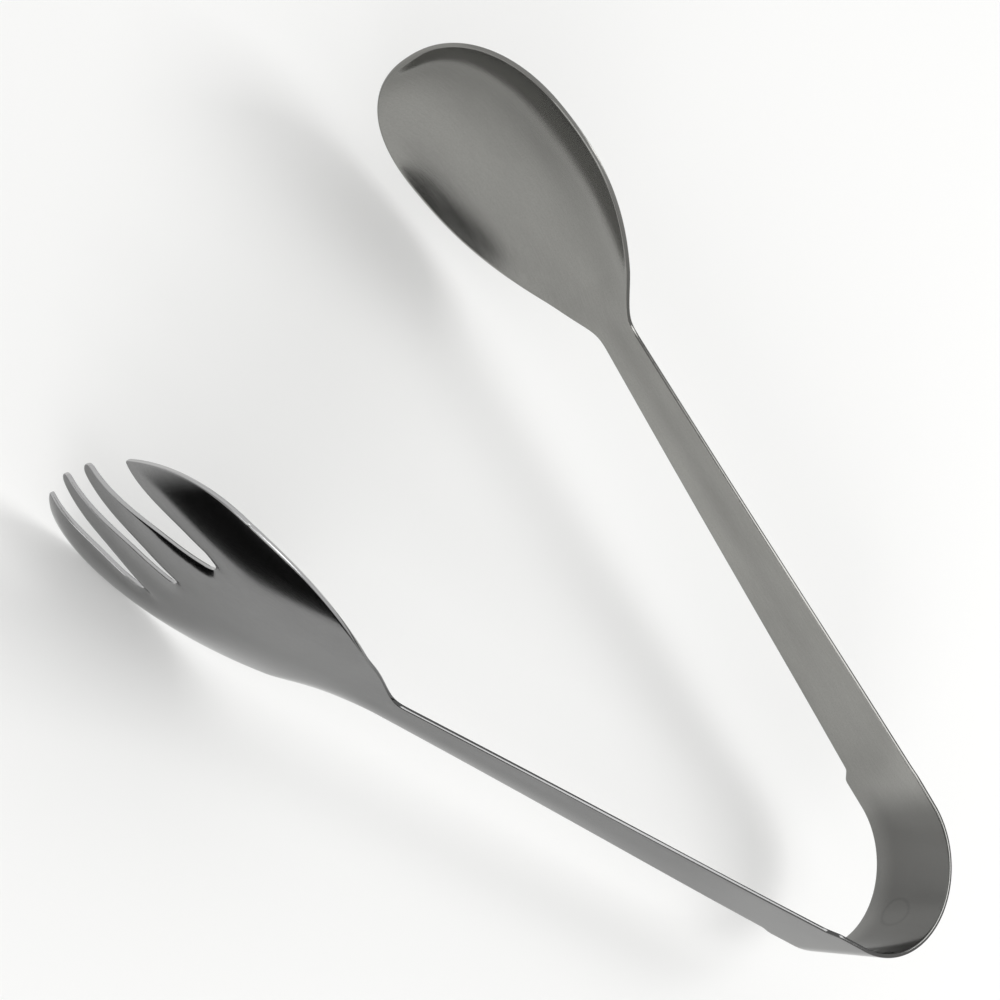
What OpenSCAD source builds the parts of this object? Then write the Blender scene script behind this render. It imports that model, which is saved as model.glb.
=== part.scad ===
// Spring serving tongs: one strip of stainless sheet, bent into a bow at the
// back, with a spoon pressed in one end and a four-tined fork in the other.
// The strip is divided into the zones that work differently: the bow, which
// flexes between its middle and its two ends, the stiff arms, the spoon bowl,
// and the fork's palm and tines. They lie on their side: +X runs from the bow to the heads,
// +Y from the spoon to the fork, and +Z is across the strip.
// The origin is at the bottom centre of the bounding box. Millimetres.

/* [Strip] */
// Thickness of the sheet
sheet_t = 0.9; // [0.8:0.1:1.2]
// Width of the band where it forms the bow
band_w = 22; // [20:0.5:24]

/* [Bow] */
// Radius of the bow on the middle of the sheet
bow_r = 19.3; // [16:0.1:23]
// Angle between each arm and the middle line, at rest
spread = 14; // [10:0.5:16]
// Straight piece of full-width band between the bow and the arm's start
straight_len = 6.6; // [4:0.1:9]

/* [Arms] */
// Length of each arm, from the end of that straight piece to the neck
arm_len = 117; // [100:0.5:130]
// Width of each arm where its taper starts
arm_w = 19.8; // [18:0.1:20]
// Width of each arm at the neck
neck_w = 10.8; // [9:0.1:12]
// How far the spoon's arm is trimmed off the band's middle line
spoon_skew = 1; // [0:0.1:1]
// Length of full-width band on each arm, before its edges are trimmed in
trim_at = 1.2; // [0.5:0.1:3]
// Length over which the edges are trimmed in
trim_run = 3; // [2:0.1:5]

/* [Spoon] */
// Length of the bowl, from the neck to its front edge
spoon_len = 72.2; // [64:0.1:76]
// Width of the bowl
spoon_w = 54.2; // [50:0.2:60]
// Depth of the bowl below its rim
spoon_depth = 7.5; // [6:0.1:10]
// How far the bowl's rim curves inward from the arm to the front edge
spoon_hook = 10.5; // [8:0.1:12]

/* [Fork] */
// Length of the fork's head, from the neck to the tips
fork_len = 68.8; // [64:0.1:72]
// Width of the fork's head
fork_w = 65.8; // [60:0.2:70]
// How far the middle of the fork curves inward at its tips
fork_hook = 11.2; // [9:0.1:13]
// How far the palm bulges outward before it curves in
fork_belly = 0.4; // [0:0.1:1.5]
// Depth of the fork's hollow across its width
fork_dish = 3.9; // [3:0.1:5]
// Length of the tines, from the ends of the slots
tine_len = 25; // [20:0.5:28]
// Width of the middle slot at its mouth
slot_mouth = 7.6; // [5:0.1:8]

/* [Hidden] */

steel = [0.62, 0.62, 0.61];
steel_dark = [0.50, 0.50, 0.51];
FORK = 1;   // side of the row that the fork is on, along Y
SPOON = -1; // side that the spoon is on
across = 24; // facets across a head
joint_angle = (90 - spread) / 2; // where the bow flexes, from its apex
bow_fn = 180;

// Where the band ends and the arm begins, on the middle of the sheet.
band_end_x = bow_r * (1 - sin(spread)) + straight_len * cos(spread);
band_end_y = bow_r * cos(spread) + straight_len * sin(spread);

// Outline of a head: half the width at s, measured along the arm from the neck.
// A cosine flare runs from the neck to the widest place, and a rounded nose,
// fuller than an ellipse, runs from there to the tip.
nose_power = 2.3;
flare_power = 1.15;
neck_blend = 4;
function flare(s, wide_at, half, reach) = s < wide_at - reach ? 0
    : half * cos(90 * pow((wide_at - s) / reach, flare_power));
function nose(s, wide_at, half, reach) =
    half * pow(max(0, 1 - pow((s - wide_at) / reach, nose_power)), 1 / nose_power);
function half_width(s, wide_at, half, back, front) =
    let(w = s < wide_at ? flare(s, wide_at, half, back) : nose(s, wide_at, half, front))
    s < wide_at ? pow(pow(w, neck_blend) + pow(neck_w / 2, neck_blend), 1 / neck_blend) : w;

// Places along a head: even to the widest place, then closing up to the tip.
function stations(from, wide_at, tip, rows, nose_rows, last) = [
    for (i = [0 : rows - 1]) from + (wide_at - from) * i / rows,
    for (i = [0 : nose_rows]) wide_at + (tip - wide_at) * pow(sin(last * i / nose_rows), 2 / nose_power)];

// Smooth step from 0 to 1.
function ease(u) = let(v = min(1, max(0, u))) v * v * (3 - 2 * v);

// Spoon, along the arm from the neck.
spoon_wide_at = 0.66 * spoon_len;
spoon_front = spoon_len - spoon_wide_at;
spoon_back = 49.1;
function spoon_half(s) = half_width(s, spoon_wide_at, spoon_w / 2, spoon_back, spoon_front);
function spoon_rim(s) = -spoon_hook * pow(max(0, s) / spoon_len, 1.55);
function spoon_sag(s) = spoon_depth
    * pow(max(0, (spoon_half(s) - neck_w / 2) / (spoon_w / 2 - neck_w / 2)), 1.1)
    * ease(s / 14);
// Outside face of the bowl, at s along and z across.
function spoon_face(s, z) = let(r = min(1, abs(z) / max(0.01, spoon_half(s))))
    sheet_t / 2 + spoon_rim(s) + spoon_sag(s) * (1 - r * r);

// Fork, along the arm from the neck.
fork_wide_at = fork_len - 21;
fork_front = 21;
fork_back = 52.6;
fork_bend_at = 20;
slot_root = fork_len - tine_len;
function fork_half(s) = half_width(s, fork_wide_at, fork_w / 2, fork_back, fork_front);
function fork_line(s) = fork_belly * ease(s / fork_bend_at)
    - (fork_hook + fork_belly) * pow(max(0, s - fork_bend_at) / (fork_len - fork_bend_at), 2.4);
// Outside face of the fork, at s along and z across.
function fork_face(s, z) = sheet_t / 2 + fork_line(s)
    - fork_dish * pow(z / (fork_w / 2), 2) * ease(s / 14);

// Slots: the middle one and two slanted ones, each with a round end.
root_r = 1.3;            // radius of a slot's round end
outer_slot_z = 15.1;     // middle of an outer slot's round end
outer_slot_far = 17.4;     // straight side of an outer slot, next to the outer tine
tip_half = 1.25;         // half the width of an inner tine near its tip
function root_round(d) = d >= root_r ? root_r : sqrt(max(0, root_r * root_r - pow(root_r - d, 2)));
// Half the width of the middle slot at d past the slots' round ends.
function mid_slot(d) = root_round(d) + (slot_mouth / 2 - root_r) * max(0, d - root_r) / (tine_len - root_r);
// The outer slots' two sides: next to the inner tine, and next to the outer one.
function outer_slot_near(d) = let(open = slot_mouth / 2 + 2 * tip_half)
    outer_slot_z - root_round(d) - (outer_slot_z - root_r - open)
    * pow(max(0, d - root_r) / (tine_len - root_r), 0.85);
function outer_slot_out(d) = outer_slot_z + root_round(d)
    + (outer_slot_far - outer_slot_z - root_r) * ease(d / 4);

// One closed ring round the sheet at s, from z = lo to z = hi: the outside
// face, then back along the inside face, one sheet thickness away from it.
step = 0.05;
function thick(s, z, fork) = let(
        f = function (a, b) fork ? fork_face(a, b) : spoon_face(a, b),
        ds = (f(s + step, z) - f(s - step, z)) / (2 * step),
        dz = (f(s, z + step) - f(s, z - step)) / (2 * step))
    sheet_t * min(1.25, sqrt(1 + ds * ds + dz * dz));
function face(s, z, fork) = fork ? fork_face(s, z) : spoon_face(s, z);
function ring(s, lo, hi, cells, fork) = [
    for (j = [0 : cells]) let(z = lo + (hi - lo) * j / cells) [s, face(s, z, fork), z],
    for (j = [cells : -1 : 0]) let(z = lo + (hi - lo) * j / cells)
        [s, face(s, z, fork) - thick(s, z * 0.995, fork), z]];

// Rings of each head zone, in the arm's own axes from the neck.
spoon_rings = [for (s = stations(0, spoon_wide_at, spoon_len, 22, 16, 87))
    ring(s, -spoon_half(s), spoon_half(s), across, false)];
palm_rings = [for (i = [0 : 22]) let(s = slot_root * i / 22)
    ring(s, -fork_half(s), fork_half(s), across, true)];
tine_rows = 16;
// Places along a tine, closer together at the slot's round end and at the tip.
function tine_s(i, long) = slot_root + long * (1 - cos(180 * i / tine_rows)) / 2;
outer_tine_len = fork_front * pow(1 - pow(2 * outer_slot_far / fork_w, nose_power), 1 / nose_power)
    + fork_wide_at - slot_root - 0.3;
function outer_tine(side) = [for (i = [0 : tine_rows]) let(s = tine_s(i, outer_tine_len),
        a = outer_slot_out(s - slot_root), b = max(fork_half(s), a + 0.12))
    ring(s, side > 0 ? a : -b, side > 0 ? b : -a, 8, true)];
// An inner tine ends in a round tip.
function tip_round(s) = let(left = slot_root + tine_len - s)
    left > tip_half ? 1 : sqrt(max(0.02, 1 - pow(1 - left / tip_half, 2)));
function inner_tine(side) = [for (i = [0 : tine_rows]) let(s = tine_s(i, tine_len),
        d = s - slot_root, a = mid_slot(d), b = outer_slot_near(d),
        m = (a + b) / 2, h = (b - a) / 2 * tip_round(s))
    ring(s, side * m - h, side * m + h, 6, true)];

// A point of a head in the row's axes, before the row is centred.
function on_side(p, side, lift) = let(s = p[0] + arm_len, n = p[1])
    [band_end_x + s * cos(spread) - n * sin(spread),
     side * (band_end_y + s * sin(spread) + n * cos(spread)), p[2] + lift];
head_points = concat(
    [for (r = spoon_rings) for (p = r) on_side(p, SPOON, spoon_skew)],
    [for (r = concat(palm_rings, outer_tine(1), inner_tine(1))) for (p = r) on_side(p, FORK, 0)]);
head_xs = [for (p = head_points) p[0]];
head_ys = [for (p = head_points) p[1]];
head_zs = [for (p = head_points) p[2]];
centre = [(max(head_xs) - sheet_t / 2) / 2, (max(head_ys) + min(head_ys)) / 2, -max(head_zs)];

// Moves a shape from the strip's own axes to the row's.
module centred() { translate(-centre) children(); }

// Puts a shape drawn along +X from the band's end on the spoon's or fork's side.
module along_arm(side, lift) {
    centred() translate([0, 0, lift]) mirror([0, side < 0 ? 1 : 0, 0])
        translate([band_end_x, band_end_y, 0]) rotate([0, 0, spread]) children();
}

// Closed skin through rings that all have the same number of points.
module skin(rings) {
    n = len(rings[0]);
    last = len(rings) - 1;
    points = [for (r = rings) for (p = r) p];
    walls = [for (i = [0 : last - 1]) for (j = [0 : n - 1]) let(k = (j + 1) % n)
        each [[i * n + j, (i + 1) * n + k, i * n + k], [i * n + j, (i + 1) * n + j, (i + 1) * n + k]]];
    half = n / 2;
    caps = [for (j = [0 : half - 2]) let(k = n - 1 - j) each [
        [j, k - 1, k], [j, j + 1, k - 1],
        [last * n + j, last * n + k, last * n + k - 1], [last * n + j, last * n + k - 1, last * n + j + 1]]];
    polyhedron(points, concat(walls, caps), convexity = 6);
}

// Part of the bow between two angles, counted from its apex towards the fork.
module bow_sector(from, to) {
    translate([bow_r, 0, 0]) rotate([0, 0, 180 - to]) rotate_extrude(angle = to - from, $fn = bow_fn)
        translate([bow_r - sheet_t / 2, -band_w / 2]) square([sheet_t, band_w]);
}

// Middle of the bow.
module bow_apex() {
    color(steel_dark) centred() bow_sector(-joint_angle, joint_angle);
}

// One end of the bow, from where it flexes to where the band runs straight.
module bow_end(side) {
    color(steel_dark) centred() mirror([0, side < 0 ? 1 : 0, 0]) bow_sector(joint_angle, 90 - spread);
}

module spoon_bow_end() { bow_end(SPOON); }
module fork_bow_end() { bow_end(FORK); }

// One edge of an arm: full band width at the bow, trimmed in, then tapering.
function arm_edge(up, lift) = [[-straight_len, up * band_w / 2], [trim_at, up * band_w / 2],
    [trim_at + trim_run, lift + up * (arm_w + (neck_w - arm_w) * (trim_at + trim_run) / arm_len) / 2],
    [arm_len, lift + up * neck_w / 2]];

// A tapered arm, from the end of the bow to the neck.
module arm(side, lift) {
    low = arm_edge(-1, lift);
    color(steel) along_arm(side, 0) translate([0, sheet_t / 2, 0]) rotate([90, 0, 0])
        linear_extrude(sheet_t) polygon(concat(low, [for (i = [3 : -1 : 0]) arm_edge(1, lift)[i]]));
}

module spoon_arm() { arm(SPOON, spoon_skew); }
module fork_arm() { arm(FORK, 0); }

// Bowl of the spoon, with its neck.
module spoon_bowl() {
    color(steel) along_arm(SPOON, spoon_skew) translate([arm_len, 0, 0]) skin(spoon_rings);
}

// Solid part of the fork's head, with its neck.
module fork_palm() {
    color(steel) along_arm(FORK, 0) translate([arm_len, 0, 0]) skin(palm_rings);
}

module tine(rings) {
    color(steel) along_arm(FORK, 0) translate([arm_len, 0, 0]) skin(rings);
}

module tine_outer_low() { tine(outer_tine(-1)); }
module tine_inner_low() { tine(inner_tine(-1)); }
module tine_inner_high() { tine(inner_tine(1)); }
module tine_outer_high() { tine(outer_tine(1)); }

bow_apex();
spoon_bow_end();
fork_bow_end();
spoon_arm();
fork_arm();
spoon_bowl();
fork_palm();
tine_outer_low();
tine_inner_low();
tine_inner_high();
tine_outer_high();
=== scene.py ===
"""Spring serving tongs: one strip of stainless sheet with a spoon at one end and a fork at the other.

The strip is drawn flat as an outline in (u, z), where u runs along the strip from the middle of the
bow and z runs across it. Each half is then laid on the bent strip as a sheet with rounded edges.
"""

import math

import bpy
import numpy as np
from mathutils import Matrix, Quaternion, Vector
from mathutils.geometry import delaunay_2d_cdt


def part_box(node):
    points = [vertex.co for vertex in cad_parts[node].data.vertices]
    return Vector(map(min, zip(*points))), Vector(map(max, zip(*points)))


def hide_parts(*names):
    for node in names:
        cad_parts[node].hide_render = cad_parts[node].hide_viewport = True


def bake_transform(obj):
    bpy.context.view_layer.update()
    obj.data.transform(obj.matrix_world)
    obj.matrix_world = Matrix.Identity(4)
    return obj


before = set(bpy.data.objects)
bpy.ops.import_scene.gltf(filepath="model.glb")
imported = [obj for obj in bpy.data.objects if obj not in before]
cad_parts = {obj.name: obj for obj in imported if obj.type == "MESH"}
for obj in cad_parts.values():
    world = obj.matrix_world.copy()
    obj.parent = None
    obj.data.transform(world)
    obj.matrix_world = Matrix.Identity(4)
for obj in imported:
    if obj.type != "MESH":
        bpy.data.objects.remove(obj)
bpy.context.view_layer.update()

# ---------------------------------------------------------------- sizes, in metres and radians
MM = 0.001
SHEET = 0.9 * MM
SPREAD = math.radians(14)  # each arm leans out from the middle line by this much
FORK, SPOON = 1, -1  # the side along Y that each half is on

bow_low, bow_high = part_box("bow_apex")
BAND_W = bow_high.z - bow_low.z
BAND_MID = Vector((bow_low.x + SHEET / 2, (bow_low.y + bow_high.y) / 2, (bow_low.z + bow_high.z) / 2))
BOW_R = 19.3 * MM
BOW_LEN = BOW_R * (math.pi / 2 - SPREAD)  # from the middle of the bow to its end
STRAIGHT = 6.6 * MM  # straight band between the bow and the place where the arms count from
ARM_LEN = 117 * MM
ARM_W = 19.8 * MM
NECK_W = 10.8 * MM
TRIM_AT, TRIM_RUN = 1.2 * MM, 3 * MM
SPOON_LIFT = 1 * MM
ARM_U = BOW_LEN + STRAIGHT
NECK_U = ARM_U + ARM_LEN

SPOON_LEN, SPOON_W, SPOON_DEPTH, SPOON_HOOK = 72.05 * MM, 54.2 * MM, 7.5 * MM, 10.5 * MM
SPOON_WIDE_AT, SPOON_BACK = 0.66 * SPOON_LEN, 49.1 * MM
SPOON_END = 0.9999 * SPOON_LEN  # just short of the tip, where the spoon still has a width
SPOON_SWELL_POWER, SPOON_HOOK_POWER = 1.1, 1.55
FORK_LEN, FORK_W, FORK_HOOK = 68.65 * MM, 65.55 * MM, 11.2 * MM
FORK_FRONT, FORK_BACK = 21 * MM, 52.6 * MM
FORK_WIDE_AT = FORK_LEN - FORK_FRONT
FORK_END = 0.999 * FORK_LEN  # just short of the tips
FORK_HOOK_POWER = 2.4
FORK_BELLY, FORK_BEND_AT, FORK_DISH = 0.4 * MM, 20 * MM, 3.9 * MM
TINE_LEN = 25 * MM
SLOT_ROOT = FORK_LEN - TINE_LEN
EDGE_HIGHLIGHT_FROM = NECK_U + SLOT_ROOT - 4 * MM  # beyond this the sheet's edge has its full painted highlight
SLOT_MOUTH, ROOT_R = 7.6 * MM, 1.3 * MM
OUTER_SLOT_Z, OUTER_SLOT_FAR = 15.1 * MM, 17.4 * MM  # the middle of its round end, and its far side
OUTER_SLOT_WIDENS, OUTER_SLOT_POWER = 4 * MM, 0.85
INNER_TIP = 1.25 * MM  # half the width of an inner tine near its tip
TIP_ROUND = 0.7 * MM  # the length over which that tip is rounded
TIP_LEAST = 0.02  # the square of the share of its width that an inner tine keeps at the very tip
HEAD_FROM = -6 * MM  # where the arm starts to widen into a head, counted from the neck
HOLLOW_STARTS = 14 * MM  # a head's hollow grows over this length from the neck

NOSE_POWER, FLARE_POWER, SPOON_BLEND, FORK_BLEND = 2.3, 1.15, 5, 3
CHANNEL = 0.35 * MM  # how far the arms are crowned across their width, at the neck
CROWN_FROM, CROWN_RUN = 0.15 * ARM_LEN, 0.85 * ARM_LEN  # where the crown starts, and how long it grows

ROLL, SLOT_ROLL = 0.5 * MM, 0.9 * MM  # how far the fork's outer edge and its slots' edges turn down
ROLL_W = 1.8 * MM  # about how wide a turned edge is
ROLL_STARTS, ROLL_RUN = 18 * MM, 26 * MM  # where the turned edge starts, and over what length it grows
SLOT_ROLL_FULL, SLOT_ROLL_FADES = 8 * MM, 13 * MM  # it is full this far along a slot, then fades out

CELL = 0.8 * MM  # size of a mesh cell
CUT_CELL = 0.08 * MM  # a thin row beside the cut in the bow, so that both halves shade alike there
GRID_MARGIN = 0.6 * CELL  # the grid keeps this far from the points of the border
MERGE_WITHIN = 1e-7  # points of the flat mesh that are closer than this become one
EDGE_STEP = 0.4 * MM  # spacing of points along the outline
SAME_PLACE = 1e-9  # points of the outline that are closer than this count as one
HEAD_BACK_POINTS, HEAD_FRONT_POINTS = 66, 60  # along a head, behind and beyond its widest place
EDGE_SOFTENING = 3  # smoothing passes over the outline's corners
EDGE_ROWS = 10  # faces round the edge of the sheet
EDGE_FULLNESS = 0.45  # 1 is a half round edge, and 0 would be a square one
SHARP = math.radians(50)  # faces that meet at more than this shade as a sharp edge
SLOPE_STEP = 0.02 * MM  # the step over which slopes are worked out
LEAST_HALF = 0.01 * MM  # keeps the share across the spoon from dividing by nothing


def ease(t):
    t = np.clip(t, 0, 1)
    return t * t * (3 - 2 * t)


def power(base, exponent):
    return np.power(np.maximum(0, base), exponent)


# ---------------------------------------------------------------- outline of the strip
def flare(s, wide_at, half, reach):
    """Half the width from the neck to the widest place."""
    t = np.clip((wide_at - s) / reach, 0, 1)
    return half * np.cos(math.pi / 2 * power(t, FLARE_POWER))


def nose(s, wide_at, half, reach):
    """Half the width from the widest place to the tip: a little fuller than an ellipse."""
    return half * power(1 - power((s - wide_at) / reach, NOSE_POWER), 1 / NOSE_POWER)


def arm_half(s):
    """Half the width of the arm, counted from the neck."""
    return NECK_W / 2 - np.minimum(0, s) * (ARM_W - NECK_W) / (2 * ARM_LEN)


def half_width(s, wide_at, half, back, front, blend):
    broad = power(flare(s, wide_at, half, back) ** blend + arm_half(s) ** blend, 1 / blend)
    return np.where(s < wide_at, broad, nose(s, wide_at, half, front))


def spoon_half(s):
    return half_width(s, SPOON_WIDE_AT, SPOON_W / 2, SPOON_BACK, SPOON_LEN - SPOON_WIDE_AT, SPOON_BLEND)


def fork_half(s):
    return half_width(s, FORK_WIDE_AT, FORK_W / 2, FORK_BACK, FORK_FRONT, FORK_BLEND)


def root_round(d):
    """Half the width of a slot's round end, at d past the end."""
    return np.where(d >= ROOT_R, ROOT_R, np.sqrt(np.maximum(0, ROOT_R**2 - (ROOT_R - d) ** 2)))


def along_slot(d):
    return np.maximum(0, d - ROOT_R) / (TINE_LEN - ROOT_R)


def middle_slot(d):
    """Half the width of the middle slot."""
    return root_round(d) + (SLOT_MOUTH / 2 - ROOT_R) * along_slot(d)


def outer_slot_near(d):
    """Side of an outer slot that is next to the inner tine."""
    mouth = SLOT_MOUTH / 2 + 2 * INNER_TIP
    moves = (OUTER_SLOT_Z - ROOT_R - mouth) * power(along_slot(d), OUTER_SLOT_POWER)
    return OUTER_SLOT_Z - root_round(d) - moves


def outer_slot_far(d):
    """Side of an outer slot that is next to the outer tine."""
    moves = (OUTER_SLOT_FAR - OUTER_SLOT_Z - ROOT_R) * ease(d / OUTER_SLOT_WIDENS)
    return OUTER_SLOT_Z + root_round(d) + moves


def crowded(start, end, count=40):
    """Places from start to end, closer together near both of them."""
    t = (1 - np.cos(np.linspace(0, math.pi, count))) / 2
    return start + (end - start) * t


def points(s, z):
    return np.column_stack([NECK_U + s, z])


def band_edge(up, lift):
    """One edge of the bow and arm, from the middle of the bow to where the head starts."""
    taper = (NECK_W - ARM_W) * (TRIM_AT + TRIM_RUN) / ARM_LEN
    return np.array([
        [0, up * BAND_W / 2],
        [ARM_U + TRIM_AT, up * BAND_W / 2],
        [ARM_U + TRIM_AT + TRIM_RUN, lift + up * (ARM_W + taper) / 2],
        [NECK_U + HEAD_FROM, lift + up * arm_half(HEAD_FROM)],
    ])


def closed_nose(wide_at, tip):
    """Places from where the head starts to its tip, for an outline that closes there."""
    back = np.linspace(HEAD_FROM, wide_at, HEAD_BACK_POINTS)[:-1]
    turn = np.linspace(0, math.pi / 2, HEAD_FRONT_POINTS)
    front = wide_at + (tip - wide_at) * power(np.sin(turn), 2 / NOSE_POWER)
    return np.concatenate([back, front])


def spoon_outline():
    s = closed_nose(SPOON_WIDE_AT, SPOON_LEN)
    low = points(s, SPOON_LIFT - spoon_half(s))
    high = points(s, SPOON_LIFT + spoon_half(s))
    start, end = band_edge(-1, SPOON_LIFT), band_edge(1, SPOON_LIFT)[::-1]
    return np.concatenate([start, low[1:], high[-2:0:-1], end])


def fork_outline():
    """Up the lower edge, in and out of the three slots, and back down the upper edge."""
    slot = crowded(0, TINE_LEN)
    beside_slot = 1 - (2 * OUTER_SLOT_FAR / FORK_W) ** NOSE_POWER
    outer_tip = FORK_WIDE_AT + FORK_FRONT * beside_slot ** (1 / NOSE_POWER)
    s = closed_nose(FORK_WIDE_AT, FORK_LEN)
    s = np.append(s[s < outer_tip], outer_tip)
    outer = crowded(0, outer_tip - SLOT_ROOT)
    to_tip = np.clip((TINE_LEN - slot) / TIP_ROUND, 0, 1)
    round_end = np.sqrt(np.maximum(TIP_LEAST, 1 - (1 - to_tip) ** 2))
    near_middle, far_side = middle_slot(slot), outer_slot_near(slot)
    middle, half = (near_middle + far_side) / 2, (far_side - near_middle) / 2 * round_end
    side = np.concatenate([
        points(s, fork_half(s)),
        points(SLOT_ROOT + outer, outer_slot_far(outer))[::-1][1:],
        points(SLOT_ROOT + slot, middle + half)[1:],
        points(SLOT_ROOT + slot, middle - half)[::-1],
    ])
    low = side * [1, -1]
    return np.concatenate([band_edge(-1, 0), low[1:], side[::-1][1:-1], band_edge(1, 0)[::-1]])


def evenly(line, step):
    """The same line with evenly spaced points."""
    length = np.concatenate([[0], np.cumsum(np.hypot(*np.diff(line, axis=0).T))])
    keep = np.append(True, np.diff(length) > SAME_PLACE)
    at = np.linspace(0, length[-1], int(length[-1] / step))
    return np.column_stack([np.interp(at, length[keep], line[keep, k]) for k in (0, 1)])


def softened(line, passes):
    """The same line with its corners rounded. Its ends stay where they are."""
    line = line.copy()
    for _ in range(passes):
        line[1:-1] = (line[:-2] + 2 * line[1:-1] + line[2:]) / 4
    return line


def inset(line, by):
    """A line beside this one, on its left, with its ends kept on u = 0."""
    along = np.gradient(line, axis=0)
    left = np.column_stack([-along[:, 1], along[:, 0]]) / np.hypot(*along.T)[:, None]
    moved = line + by * left
    moved[[0, -1], 0] = 0
    return moved


# ---------------------------------------------------------------- height of the sheet
def slope(f, x):
    return (f(x + SLOPE_STEP) - f(x - SLOPE_STEP)) / (2 * SLOPE_STEP)


def from_rim(half_of, s, across):
    """About how far a point of a head is from the head's outer edge."""
    return (half_of(s) - np.abs(across)) / np.sqrt(1 + slope(half_of, s) ** 2)


def from_slot(s, across, near, far):
    """About how far a point of the fork is from a slot between two sides."""
    d = s - SLOT_ROOT
    end = np.maximum(d, ROOT_R)
    middle, half = (far(end) + near(end)) / 2, (far(end) - near(end)) / 2
    return np.hypot(across - middle, np.minimum(0, d - ROOT_R)) - half


def rolled(distance):
    """How far the sheet turns down at a distance from its edge, as a share of the whole."""
    return np.exp(-np.maximum(0, distance) / ROLL_W)


def arm_crown(u, z, lift, neck):
    """The arms are crowned outward across their width, more and more towards the neck."""
    grown = ease((u - ARM_U - CROWN_FROM) / CROWN_RUN)
    fades = 1 - ease((u - NECK_U) / HOLLOW_STARTS)
    return -CHANNEL * grown * fades * ((z - lift) / (neck / 2)) ** 2


def spoon_height(u, z):
    s, across = np.maximum(0, u - NECK_U), z - SPOON_LIFT
    half = spoon_half(np.minimum(s, SPOON_END))
    swell = power((half - NECK_W / 2) / (SPOON_W / 2 - NECK_W / 2), SPOON_SWELL_POWER)
    sag = SPOON_DEPTH * swell * ease(s / HOLLOW_STARTS)
    rim = -SPOON_HOOK * power(s / SPOON_LEN, SPOON_HOOK_POWER)
    share = np.clip(np.abs(across) / np.maximum(half, LEAST_HALF), 0, 1)
    return rim + sag * (1 - share**2) + arm_crown(u, z, SPOON_LIFT, NECK_W)


def fork_height(u, z):
    s = np.maximum(0, u - NECK_U)
    line = FORK_BELLY * ease(s / FORK_BEND_AT)
    beyond_bend = (s - FORK_BEND_AT) / (FORK_LEN - FORK_BEND_AT)
    line = line - (FORK_HOOK + FORK_BELLY) * power(beyond_bend, FORK_HOOK_POWER)
    dish = FORK_DISH * (z / (FORK_W / 2)) ** 2 * ease(s / HOLLOW_STARTS)
    roll = ROLL * rolled(from_rim(fork_half, np.clip(s, 0, FORK_END), z))
    middle = rolled(from_slot(s, z, lambda d: -middle_slot(d), middle_slot))
    outer = rolled(from_slot(s, np.abs(z), outer_slot_near, outer_slot_far))
    fades = 1 - ease((s - SLOT_ROOT - SLOT_ROLL_FULL) / SLOT_ROLL_FADES)
    roll = roll + SLOT_ROLL * (middle + outer) * fades
    return line - dish - roll * ease((s - ROLL_STARTS) / ROLL_RUN) + arm_crown(u, z, 0, NECK_W)


def laid(u, z, height, side):
    """A point of the flat drawing, moved outward by its height, on the bent strip."""
    n = height(u, z)
    turn = np.minimum(u, BOW_LEN) / BOW_R
    run = np.maximum(0, u - BOW_LEN)
    x = BOW_R - (BOW_R + n) * np.cos(turn) + run * math.sin(BOW_LEN / BOW_R)
    y = (BOW_R + n) * np.sin(turn) + run * math.cos(BOW_LEN / BOW_R)
    return np.column_stack([BAND_MID.x + x, BAND_MID.y + side * y, BAND_MID.z + z])


def outward(u, z, height, side):
    """Outward normal of the middle of the sheet."""
    d = SLOPE_STEP
    du = laid(u + d, z, height, side) - laid(u - d, z, height, side)
    dz = laid(u, z + d, height, side) - laid(u, z - d, height, side)
    normal = np.cross(du, dz) * -side
    return normal / np.linalg.norm(normal, axis=1)[:, None]


# ---------------------------------------------------------------- mesh of one half
def inside(places, line, margin=0):
    """True for each place that is inside the closed line and more than margin away from its points."""
    a, b = line, np.roll(line, -1, axis=0)
    found = []
    for x, y in places:
        crosses = (a[:, 1] > y) != (b[:, 1] > y)
        (x1, y1), (x2, y2) = a[crosses].T, b[crosses].T
        right = np.count_nonzero(x1 + (y - y1) / (y2 - y1) * (x2 - x1) > x)
        found.append(right % 2 == 1 and (not margin or np.hypot(a[:, 0] - x, a[:, 1] - y).min() > margin))
    return np.array(found)


def flat_mesh(edge, rim):
    """Points and triangles inside the rim, and how many of the points are on the border. Those come first."""
    cut = np.linspace(rim[-1], rim[0], int(BAND_W / CELL))[1:-1]
    border = np.concatenate([rim, cut])
    us = np.arange(CELL, edge[:, 0].max(), CELL)
    zs = np.arange(edge[:, 1].min(), edge[:, 1].max(), CELL)
    grid = np.array([(u, z) for u in us for z in zs])
    beside_cut = cut + [CUT_CELL, 0]
    flat = np.concatenate([border, beside_cut, grid[inside(grid, border, GRID_MARGIN)]])
    loop = [(i, (i + 1) % len(border)) for i in range(len(border))]
    made = delaunay_2d_cdt([Vector(p) for p in flat], loop, [], 0, MERGE_WITHIN, False)
    flat = np.array([tuple(p) for p in made[0]])
    triangles = np.array([tuple(t) for t in made[2]])
    triangles = triangles[inside(flat[triangles].mean(axis=1), border)].tolist()
    return flat, triangles, len(border)


def sheet_points(flat, edge, height, side):
    """The outside face, the inside face, and then the rows between them round the edge."""
    mid, normal = laid(*flat.T, height, side), outward(*flat.T, height, side)
    rims = len(edge)
    reach = laid(*edge.T, height, side) - mid[:rims]
    verts = [mid + normal * SHEET / 2, mid - normal * SHEET / 2]
    for k in range(1, EDGE_ROWS):
        angle = math.pi * (0.5 - k / EDGE_ROWS)
        out, up = (math.copysign(abs(f(angle)) ** EDGE_FULLNESS, f(angle)) for f in (math.cos, math.sin))
        verts.append(mid[:rims] + reach * out + normal[:rims] * SHEET / 2 * up)
    return np.concatenate(verts)


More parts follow.
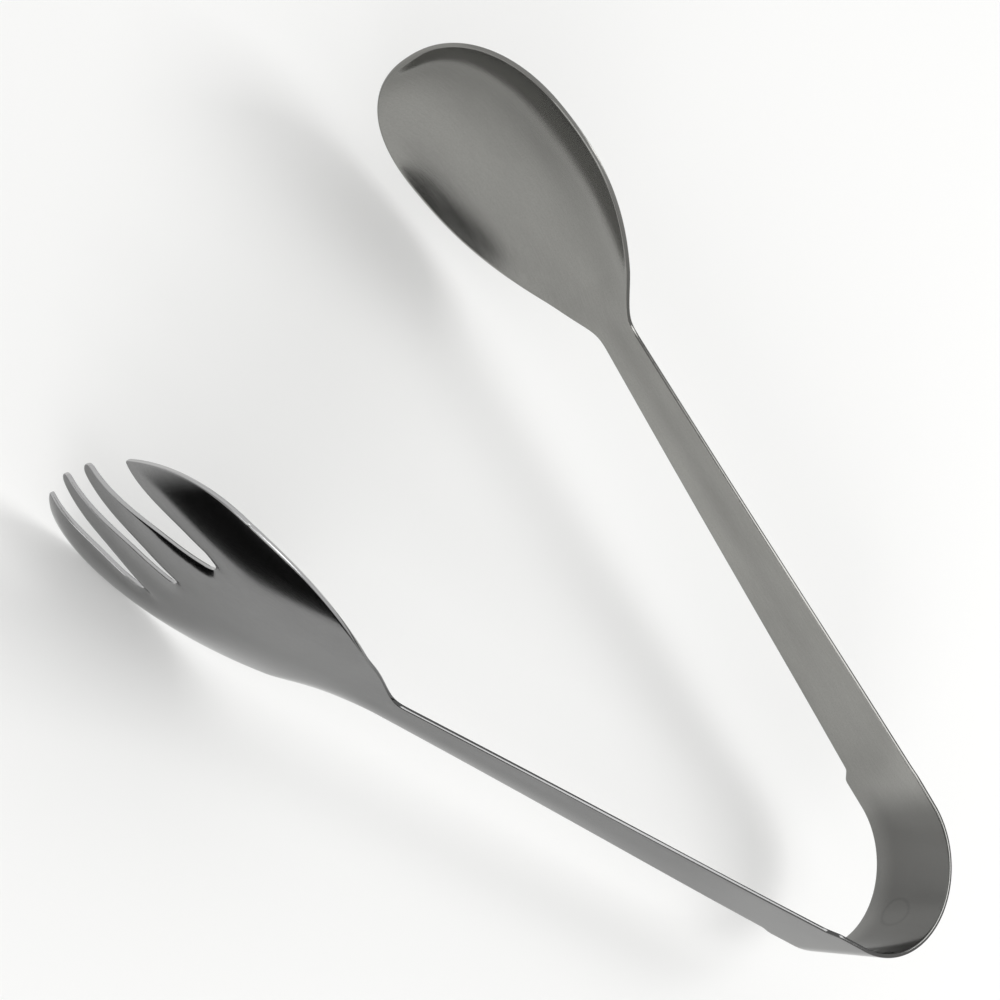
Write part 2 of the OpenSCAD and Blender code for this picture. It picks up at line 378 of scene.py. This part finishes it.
def sheet_faces(triangles, count, rims, borders):
    """Faces between the points of a sheet: its two sides, its edge, and the cut in the bow with its ends."""

    def row(k):
        """First vertex of a row round the edge: 0 is on the outside face, EDGE_ROWS on the inside face."""
        return 0 if k == 0 else count if k == EDGE_ROWS else 2 * count + (k - 1) * rims

    faces = triangles + [[count + i for i in reversed(t)] for t in triangles]
    for k in range(EDGE_ROWS):
        a, b = row(k), row(k + 1)
        faces += [(a + i, b + i, b + i + 1, a + i + 1) for i in range(rims - 1)]
    ends = [rims - 1] + list(range(rims, borders)) + [0]
    faces += [(i, count + i, count + j, j) for i, j in zip(ends, ends[1:])]
    faces.append(tuple(row(k) for k in range(EDGE_ROWS, -1, -1)))
    faces.append(tuple(row(k) + rims - 1 for k in range(EDGE_ROWS + 1)))
    return faces


def mark_strip(mesh, flat, rim):
    """Keeps each point's u, z and depth for the material. Depth runs from 1 outside to -1 inside."""
    where = np.concatenate([flat, flat] + [rim] * (EDGE_ROWS - 1))
    depth = [np.full(len(flat), 1.0), np.full(len(flat), -1.0)]
    depth += [np.full(len(rim), math.cos(math.pi * k / EDGE_ROWS)) for k in range(1, EDGE_ROWS)]
    values = np.column_stack([where, np.concatenate(depth)])
    strip = mesh.attributes.new("strip", "FLOAT_VECTOR", "POINT")
    strip.data.foreach_set("vector", values.astype(np.float32).ravel())


def half_mesh(name, outline, height, side):
    """One half of the strip as a sheet with a rounded edge, cut square at the middle of the bow.

    The rim crosses itself at the two sharp outer tips of the fork, which leaves 24 open edges there.
    """
    edge = softened(evenly(outline, EDGE_STEP), EDGE_SOFTENING)
    rim = inset(edge, SHEET / 2)
    flat, triangles, borders = flat_mesh(edge, rim)
    verts = sheet_points(flat, edge, height, side)
    faces = sheet_faces(triangles, len(flat), len(rim), borders)

    mesh = bpy.data.meshes.new(name)
    mesh.from_pydata(verts.tolist(), [], faces)
    if side == FORK:
        mesh.flip_normals()
    mesh.validate()
    mesh.shade_smooth()
    mesh.set_sharp_from_angle(angle=SHARP)
    mark_strip(mesh, flat, rim)

    piece = bpy.data.objects.new(name, mesh)
    bpy.context.scene.collection.objects.link(piece)
    return piece


# ---------------------------------------------------------------- material
BOW_TONE = (0.28, 0.279, 0.27)  # both sides share this tone in the bow
# One steel in two painted tones: the fork side darker and cooler as painted shade, the spoon side lighter and
# warmer as painted light
SPOON_SIDE_LIT_TONE, FORK_SIDE_SHADED_TONE = (0.32, 0.318, 0.303), (0.25, 0.25, 0.25)
TONE_FADES = (0.2 * BOW_LEN, ARM_U + 10 * MM)  # from the shared tone to a side's own

LINE_GROWS = (ARM_U + 10 * MM, NECK_U - 30 * MM)  # a painted dark reflection, a darker line along the middle of an arm
LINE_ENDS = (NECK_U + HOLLOW_STARTS, NECK_U)
LINE_W = 0.42  # as a share of half the arm's width
BOW_SHADE_ENDS = (BOW_LEN + 8 * MM, BOW_LEN - 3 * MM)  # painted shade on the inside of the bow, standing in for its dark reflection
BOW_SHADE_INSIDE = (0.0, -0.9)  # in depth
BOW_SHADE_RISES = (-BAND_W / 2, -BAND_W / 5)  # the painted shade is lighter towards the lower edge, in z
BOW_SHADE_LEAST = 0.45
RING_AT, RING_R, RING_W = (0, -2 * MM), 3.6 * MM, 0.7 * MM  # a faint painted dark reflection, a ring inside the bow, in (u, z)

ROUGH_LEAST, ROUGH_WEAR, ROUGH_CLOUD = 0.105, 0.1, 0.05
ROUGH_EDGE = 0.6  # the edge's share of the faces' roughness
FINE_BUMP, BROAD_BUMP = 0.0025 * MM, 0.004 * MM
TINT = (0.7, 0.7, 0.7, 1)


class Nodes:
    """A few short cuts for wiring a material's nodes."""

    def __init__(self, name):
        self.material = bpy.data.materials.new(name)
        self.material.use_nodes = True
        self.tree = self.material.node_tree
        self.bsdf = self.tree.nodes["Principled BSDF"]

    def put(self, socket, value):
        if isinstance(value, bpy.types.NodeSocket):
            self.tree.links.new(value, socket)
        else:
            socket.default_value = value

    def maths(self, operation, *values):
        node = self.tree.nodes.new("ShaderNodeMath")
        node.operation = operation
        for socket, value in zip(node.inputs, values):
            self.put(socket, value)
        return node.outputs[0]

    def soft_step(self, value, start, end, low=0.0, high=1.0):
        node = self.tree.nodes.new("ShaderNodeMapRange")
        node.interpolation_type = "SMOOTHSTEP"
        for socket, given in zip(node.inputs, (value, start, end, low, high)):
            self.put(socket, given)
        return node.outputs[0]

    def split(self, vector):
        node = self.tree.nodes.new("ShaderNodeSeparateXYZ")
        self.put(node.inputs[0], vector)
        return node.outputs

    def stretched(self, vector, scale):
        node = self.tree.nodes.new("ShaderNodeMapping")
        self.put(node.inputs["Vector"], vector)
        self.put(node.inputs["Scale"], scale)
        return node.outputs[0]

    def noise(self, vector, scale, detail, rough):
        node = self.tree.nodes.new("ShaderNodeTexNoise")
        self.put(node.inputs["Vector"], vector)
        self.put(node.inputs["Scale"], scale)
        self.put(node.inputs["Detail"], detail)
        self.put(node.inputs["Roughness"], rough)
        return node.outputs[0]

    def mix(self, factor, a, b):
        node = self.tree.nodes.new("ShaderNodeMix")
        node.data_type = "RGBA"
        for socket, value in zip((node.inputs[0], node.inputs[6], node.inputs[7]), (factor, a, b)):
            self.put(socket, value)
        return node.outputs[2]

    def bump(self, height, distance, under=None):
        node = self.tree.nodes.new("ShaderNodeBump")
        self.put(node.inputs["Height"], height)
        self.put(node.inputs["Distance"], distance)
        self.put(node.inputs["Strength"], 1.0)
        if under is not None:
            self.put(node.inputs["Normal"], under)
        return node.outputs[0]

    def near(self, value, at, width):
        """1 at one value, fading to 0 at this distance from it."""
        return self.soft_step(self.maths("ABSOLUTE", self.maths("SUBTRACT", value, at)), width, 0.0)


class StripNodes(Nodes):
    """Nodes that know their place on the strip: u, z, and depth, which runs from 1 outside to -1 inside."""

    def __init__(self, name, tone):
        super().__init__(name)
        self.tone = tone
        attribute = self.tree.nodes.new("ShaderNodeAttribute")
        attribute.attribute_name = "strip"
        self.place = attribute.outputs["Vector"]
        self.u, self.z, self.depth = self.split(self.place)

    def pattern(self, stretch, scale, detail, rough):
        return self.noise(self.stretched(self.place, stretch), scale, detail, rough)

    def shade(self, amount):
        """The tone of this side times an amount; the two sides' tones are painted lit and shaded copies of
        one steel. In the bow it fades into the tone that both sides share.
        """
        own, shared = ((*(amount * c for c in colour), 1) for colour in (self.tone, BOW_TONE))
        return self.mix(self.soft_step(self.u, *TONE_FADES), shared, own)


def arm_painted_reflection(n, lift):
    """A painted dark reflection: a darker line along the middle of the crowned arm."""
    across = n.maths("DIVIDE", n.maths("SUBTRACT", n.z, lift), ARM_W / 2)
    on_arm = n.maths("MULTIPLY", n.soft_step(n.u, *LINE_GROWS), n.soft_step(n.u, *LINE_ENDS))
    return n.maths("MULTIPLY", n.near(across, 0.0, LINE_W), on_arm)


def bow_painted_shade(n):
    """Painted shade, a dark reflection on the inside face of the bow, less and less towards its lower edge.
    """
    bow = n.maths("MULTIPLY", n.soft_step(n.u, *BOW_SHADE_ENDS), n.soft_step(n.depth, *BOW_SHADE_INSIDE))
    return n.maths("MULTIPLY", bow, n.soft_step(n.z, *BOW_SHADE_RISES, BOW_SHADE_LEAST, 1.0))


# A painted dark reflection: a faint darker ring inside the bow, not wear.
def bow_ring_reflection(n):
    ring_from = n.tree.nodes.new("ShaderNodeVectorMath")
    ring_from.operation = "DISTANCE"
    n.put(ring_from.inputs[0], n.stretched(n.place, (1, 1, 0)))
    n.put(ring_from.inputs[1], (*RING_AT, 0))
    return n.near(ring_from.outputs["Value"], RING_R, RING_W)


def face_colour(n, cloud, brush, grain, lift):
    """A cloudy tone with marks laid over it one after the other."""
    bow = bow_painted_shade(n)
    marks = (  # where it is, how strong it is, and how bright beside the steel's own tone
        (n.soft_step(brush, 0.35, 0.75), 0.25, 1.3),
        (n.soft_step(grain, 0.38, 0.68), 0.22, 0.72),
        # painted dark reflection along the middle of the arm
        (arm_painted_reflection(n, lift), 0.22, 0.5),
        # painted shade on the inside of the bow
        (bow, 0.8, 0.45),
        # painted dark reflection, a ring inside the bow
        (n.maths("MULTIPLY", bow_ring_reflection(n), bow), 0.3, 0.35),
    )
    colour = n.mix(n.soft_step(cloud, 0.3, 0.72), n.shade(0.93), n.shade(1.07))
    for where, strength, bright in marks:
        colour = n.mix(n.maths("MULTIPLY", where, strength), colour, n.shade(bright))
    return colour


def steel(name, tone, lift, edge_highlight):
    """Satin stainless steel. The sheet's edge is painted: a painted highlight at the end of the head, as
    bright as the last argument, and painted shade along the arms.
    """
    n = StripNodes(name, tone)
    cloud = n.pattern(stretch=(0.5, 1, 0.002), scale=60, detail=2.0, rough=0.5)
    brush = n.pattern(stretch=(260, 2600, 0.01), scale=1, detail=3.0, rough=0.6)
    grain = n.pattern(stretch=(1, 1, 0.002), scale=2600, detail=2.0, rough=0.7)
    wear = n.pattern(stretch=(60, 420, 0.004), scale=1, detail=4.0, rough=0.65)

    face = n.soft_step(n.maths("ABSOLUTE", n.depth), 0.55, 0.98)
    # The edge's colour is painted light: darker along the arms as painted shade, brighter towards the end of
    # the head as a painted highlight.
    edge = n.mix(n.soft_step(n.u, NECK_U, EDGE_HIGHLIGHT_FROM), n.shade(0.42), n.shade(edge_highlight))
    n.put(n.bsdf.inputs["Base Color"], n.mix(face, edge, face_colour(n, cloud, brush, grain, lift)))
    n.put(n.bsdf.inputs["Metallic"], 1.0)
    n.put(n.bsdf.inputs["Specular Tint"], TINT)

    rough = n.maths("ADD", n.maths("MULTIPLY", wear, ROUGH_WEAR), ROUGH_LEAST)
    clouded = n.maths("MULTIPLY", n.maths("SUBTRACT", cloud, 0.5), ROUGH_CLOUD)
    share = n.soft_step(face, 0.0, 1.0, ROUGH_EDGE, 1.0)
    n.put(n.bsdf.inputs["Roughness"], n.maths("MULTIPLY", n.maths("ADD", rough, clouded), share))

    fine = n.bump(n.maths("ADD", grain, n.maths("MULTIPLY", brush, 0.6)), FINE_BUMP)
    n.put(n.bsdf.inputs["Normal"], n.bump(n.maths("ADD", cloud, wear), BROAD_BUMP, fine))
    return n.material


# ---------------------------------------------------------------- the two halves
spoon_half_piece = half_mesh("spoon_side_strip", spoon_outline(), spoon_height, SPOON)
fork_half_piece = half_mesh("fork_side_strip", fork_outline(), fork_height, FORK)
spoon_half_piece.data.materials.append(steel("spoon_side_steel", SPOON_SIDE_LIT_TONE, SPOON_LIFT, edge_highlight=0.75))
fork_half_piece.data.materials.append(steel("fork_side_steel", FORK_SIDE_SHADED_TONE, 0.0, edge_highlight=2.1))
for piece, side, body in ((spoon_half_piece, SPOON, "spoon_side"), (fork_half_piece, FORK, "fork_side")):
    end = laid(np.array([BOW_LEN]), np.array([0.0]), lambda u, z: 0 * u, side)[0]
    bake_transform(piece)
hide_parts("spoon_bow_end", "spoon_arm", "spoon_bowl", "bow_apex")
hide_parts("fork_bow_end", "fork_arm", "fork_palm",
            "tine_outer_low", "tine_inner_low", "tine_inner_high", "tine_outer_high")

# ---------------------------------------------------------------- floor, light and camera
def plain(name, colour, rough, shine):
    mat = bpy.data.materials.new(name)
    mat.use_nodes = True
    bsdf = mat.node_tree.nodes["Principled BSDF"]
    bsdf.inputs["Base Color"].default_value = (*colour, 1)
    bsdf.inputs["Roughness"].default_value = rough
    bsdf.inputs["Specular IOR Level"].default_value = shine
    return mat


def sheet_of_card(name, centre, width, height, facing, mat):
    """A flat rectangle that faces along facing. It isn't part of the object."""
    half_w, half_h = width / 2, height / 2
    mesh = bpy.data.meshes.new(name)
    corners = [(-half_w, -half_h, 0), (half_w, -half_h, 0), (half_w, half_h, 0), (-half_w, half_h, 0)]
    mesh.from_pydata(corners, [], [(0, 1, 2, 3)])
    mesh.materials.append(mat)
    card = bpy.data.objects.new(name, mesh)
    bpy.context.scene.collection.objects.link(card)
    card.location = centre
    card.rotation_euler = Vector(facing).to_track_quat("Z", "Y").to_euler()
    return card


FLOOR_SIZE = 6
paper = plain("pale_paper", colour=(0.93, 0.93, 0.92), rough=0.8, shine=0.2)
sheet_of_card("floor", (0, 0, 0), FLOOR_SIZE, FLOOR_SIZE, (0, 0, 1), paper)

# A dark card beside the fork, seen only in the steel, gives the fork's back its dark reflection.
CARD_AT, CARD_W, CARD_H = (0.037, 0.075, 0.0475), 0.136, 0.027
CARD_FADES = (0.105, 0.088)  # clear beyond the first of these along X, and full before the second
FELT = (0.004, 0.004, 0.004, 1)
felt = Nodes("dark_felt")
felt_x = felt.split(felt.tree.nodes.new("ShaderNodeNewGeometry").outputs["Position"])[0]
felt.put(felt.bsdf.inputs["Alpha"], felt.soft_step(felt_x, *CARD_FADES))
felt.put(felt.bsdf.inputs["Base Color"], FELT)
felt.put(felt.bsdf.inputs["Roughness"], 1.0)
dark_card = sheet_of_card("dark_card", CARD_AT, CARD_W, CARD_H, (0, -1, 0), felt.material)
dark_card.visible_camera = dark_card.visible_diffuse = dark_card.visible_shadow = False

LIGHT_AT = Vector((0, 0, BAND_MID.z))


def softbox(name, azimuth, elevation, distance, size, watts):
    """A square lamp that looks at LIGHT_AT."""
    az, el = math.radians(azimuth), math.radians(elevation)
    way = Vector((math.cos(az) * math.cos(el), math.sin(az) * math.cos(el), math.sin(el)))
    lamp = bpy.data.lights.new(name, "AREA")
    lamp.size, lamp.energy = size, watts
    holder = bpy.data.objects.new(name, lamp)
    bpy.context.scene.collection.objects.link(holder)
    holder.location = LIGHT_AT + way * distance
    holder.rotation_euler = way.to_track_quat("Z", "Y").to_euler()


softbox("key", azimuth=-145, elevation=58, distance=1.2, size=0.5, watts=3.9)
softbox("side", azimuth=102, elevation=22, distance=1.2, size=0.6, watts=3)

SURROUND = 0.78  # strength of the white surroundings
world = bpy.data.worlds.new("studio")
bpy.context.scene.world = world
world.use_nodes = True
world.node_tree.nodes["Background"].inputs["Color"].default_value = (1, 1, 1, 1)
world.node_tree.nodes["Background"].inputs["Strength"].default_value = SURROUND
bpy.context.scene.view_settings.view_transform = "Standard"

VIEW_AZIMUTH, VIEW_ELEVATION, VIEW_ROLL = (math.radians(a) for a in (144.617, 54.956, 75.566))
VIEW_DISTANCE, LENS = 0.35004, 63.77  # the lens is in millimetres
CLIP_NEAR, CLIP_FAR = 0.01, 20
LOOK_AT = BAND_MID + Vector((0.13647, -0.00102, 0))
back = Vector((
    math.sin(VIEW_AZIMUTH) * math.cos(VIEW_ELEVATION),
    -math.cos(VIEW_AZIMUTH) * math.cos(VIEW_ELEVATION),
    math.sin(VIEW_ELEVATION),
))
camera = bpy.data.objects.new("camera", bpy.data.cameras.new("camera"))
bpy.context.scene.collection.objects.link(camera)
camera.data.lens = LENS
camera.location = LOOK_AT + back * VIEW_DISTANCE
camera.rotation_mode = "QUATERNION"
camera.rotation_quaternion = (-back).to_track_quat("-Z", "Y") @ Quaternion((0, 0, 1), VIEW_ROLL)
camera.data.clip_start, camera.data.clip_end = CLIP_NEAR, CLIP_FAR
bpy.context.scene.camera = camera
